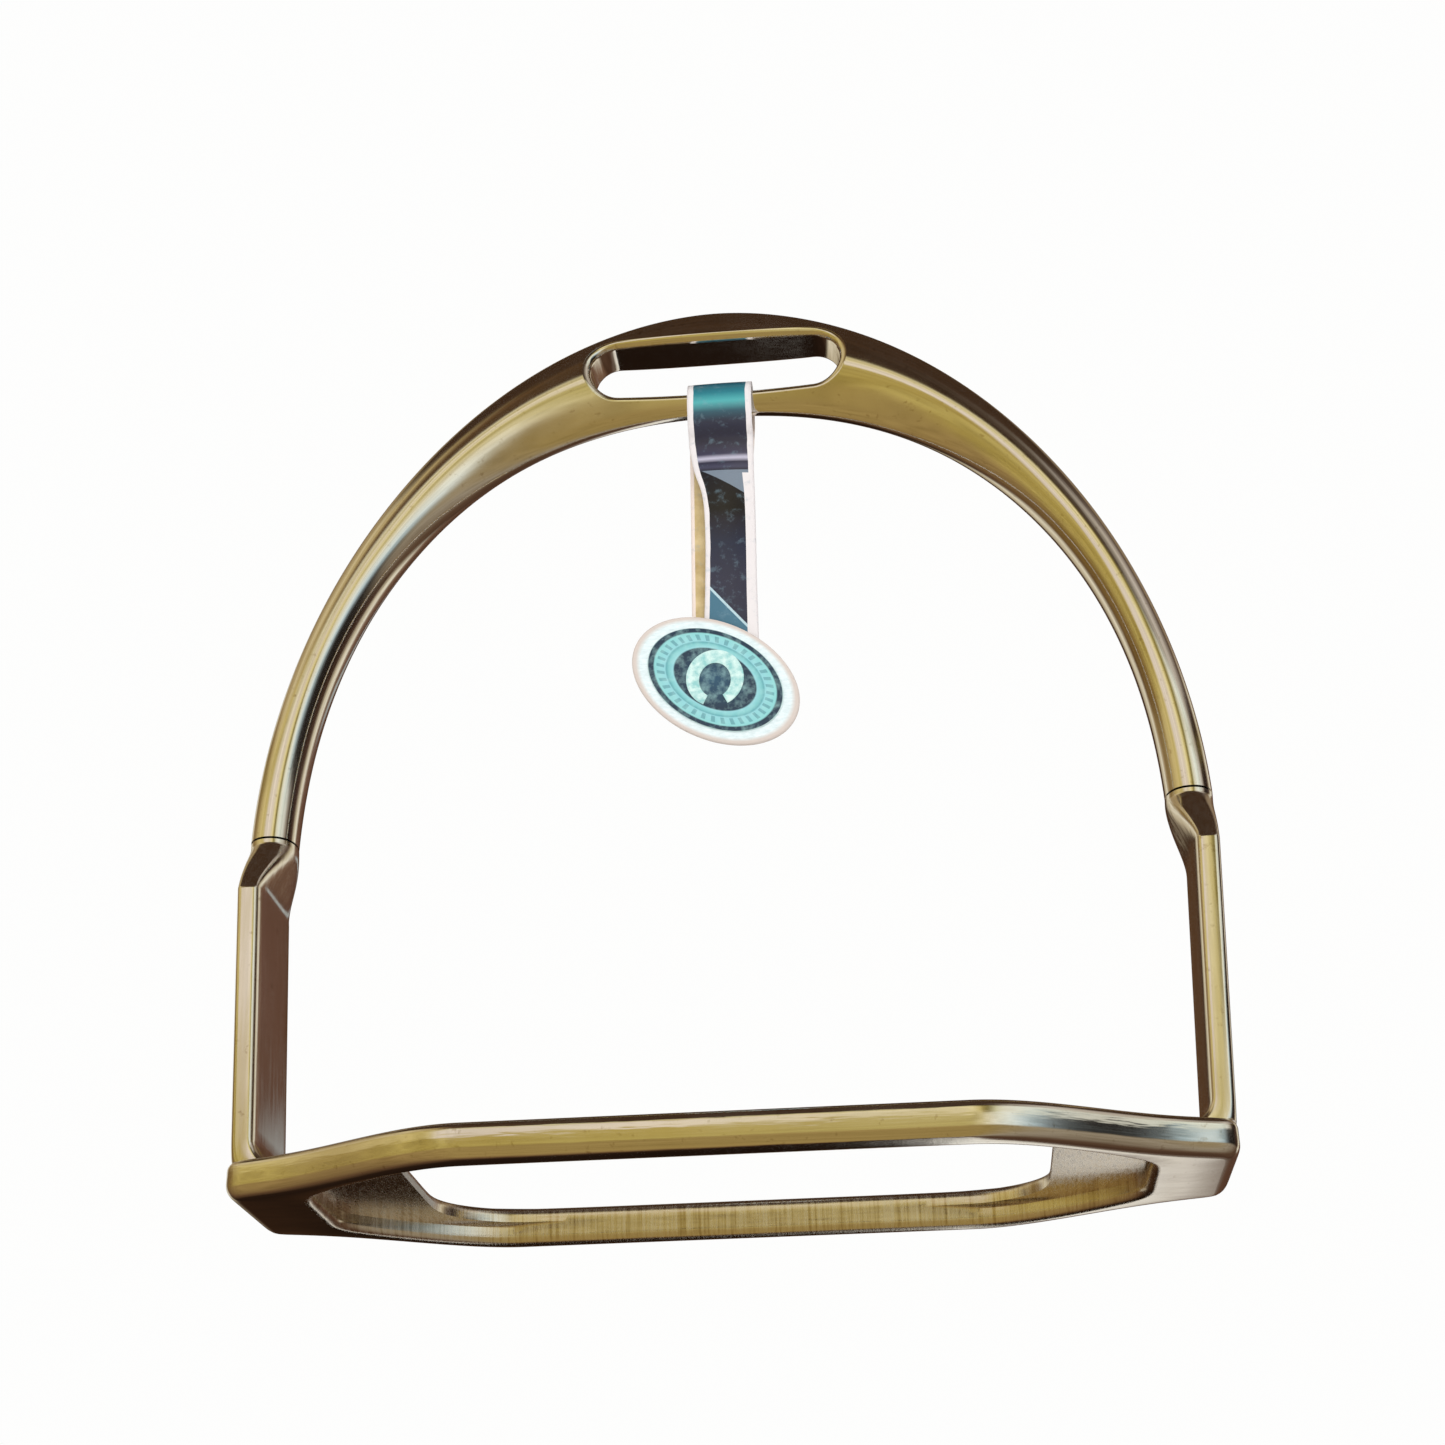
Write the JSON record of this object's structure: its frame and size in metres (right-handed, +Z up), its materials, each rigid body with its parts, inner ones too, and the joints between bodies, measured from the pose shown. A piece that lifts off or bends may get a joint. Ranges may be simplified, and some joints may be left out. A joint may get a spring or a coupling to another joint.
{
  "type": "stirrup iron",
  "caption": "English stirrup iron: arched polished bow with a slotted leather eye, flat sides, open-bottom tread and a paper swing tag looped in the eye.",
  "frame": {"origin": "centre of the tread's underside, which the iron stands on", "axes": "+Z up to the eye, +X across the iron to the rider's right seen from the front, -Y the front"},
  "size_m": [0.1296, 0.046, 0.1336],
  "materials": {
    "polished_nickel": "polished nickel, warm",
    "polished_tread": "polished with fine grinding marks",
    "tag_card": "laminated pale card",
    "tag_strap_print": "laminated dark print",
    "tag_seal_print": "laminated teal print"
  },
  "bodies": {
    "iron": {"bow": "polished_nickel", "side_plate_left": "polished_nickel", "side_plate_right": "polished_nickel", "tread": "polished_tread"},
    "tag_loop": {"tag_loop": "tag_strap_print"},
    "tag": {"tag_strap": "tag_strap_print", "tag_disc": "tag_card", "tag_seal": "tag_seal_print"}
  },
  "joints": [
    {"name": "tag_slide", "type": "slide", "parent": "iron", "child": "tag_loop", "axis": [1, 0, 0], "range_m": [-0.0105, 0.0095]},
    {"name": "tag_swing", "type": "hinge", "parent": "tag_loop", "child": "tag", "pos_m": [0.0006, 0, 0.1106], "axis": [1, 0, 0], "range_deg": [-85, 85]}
  ]
}
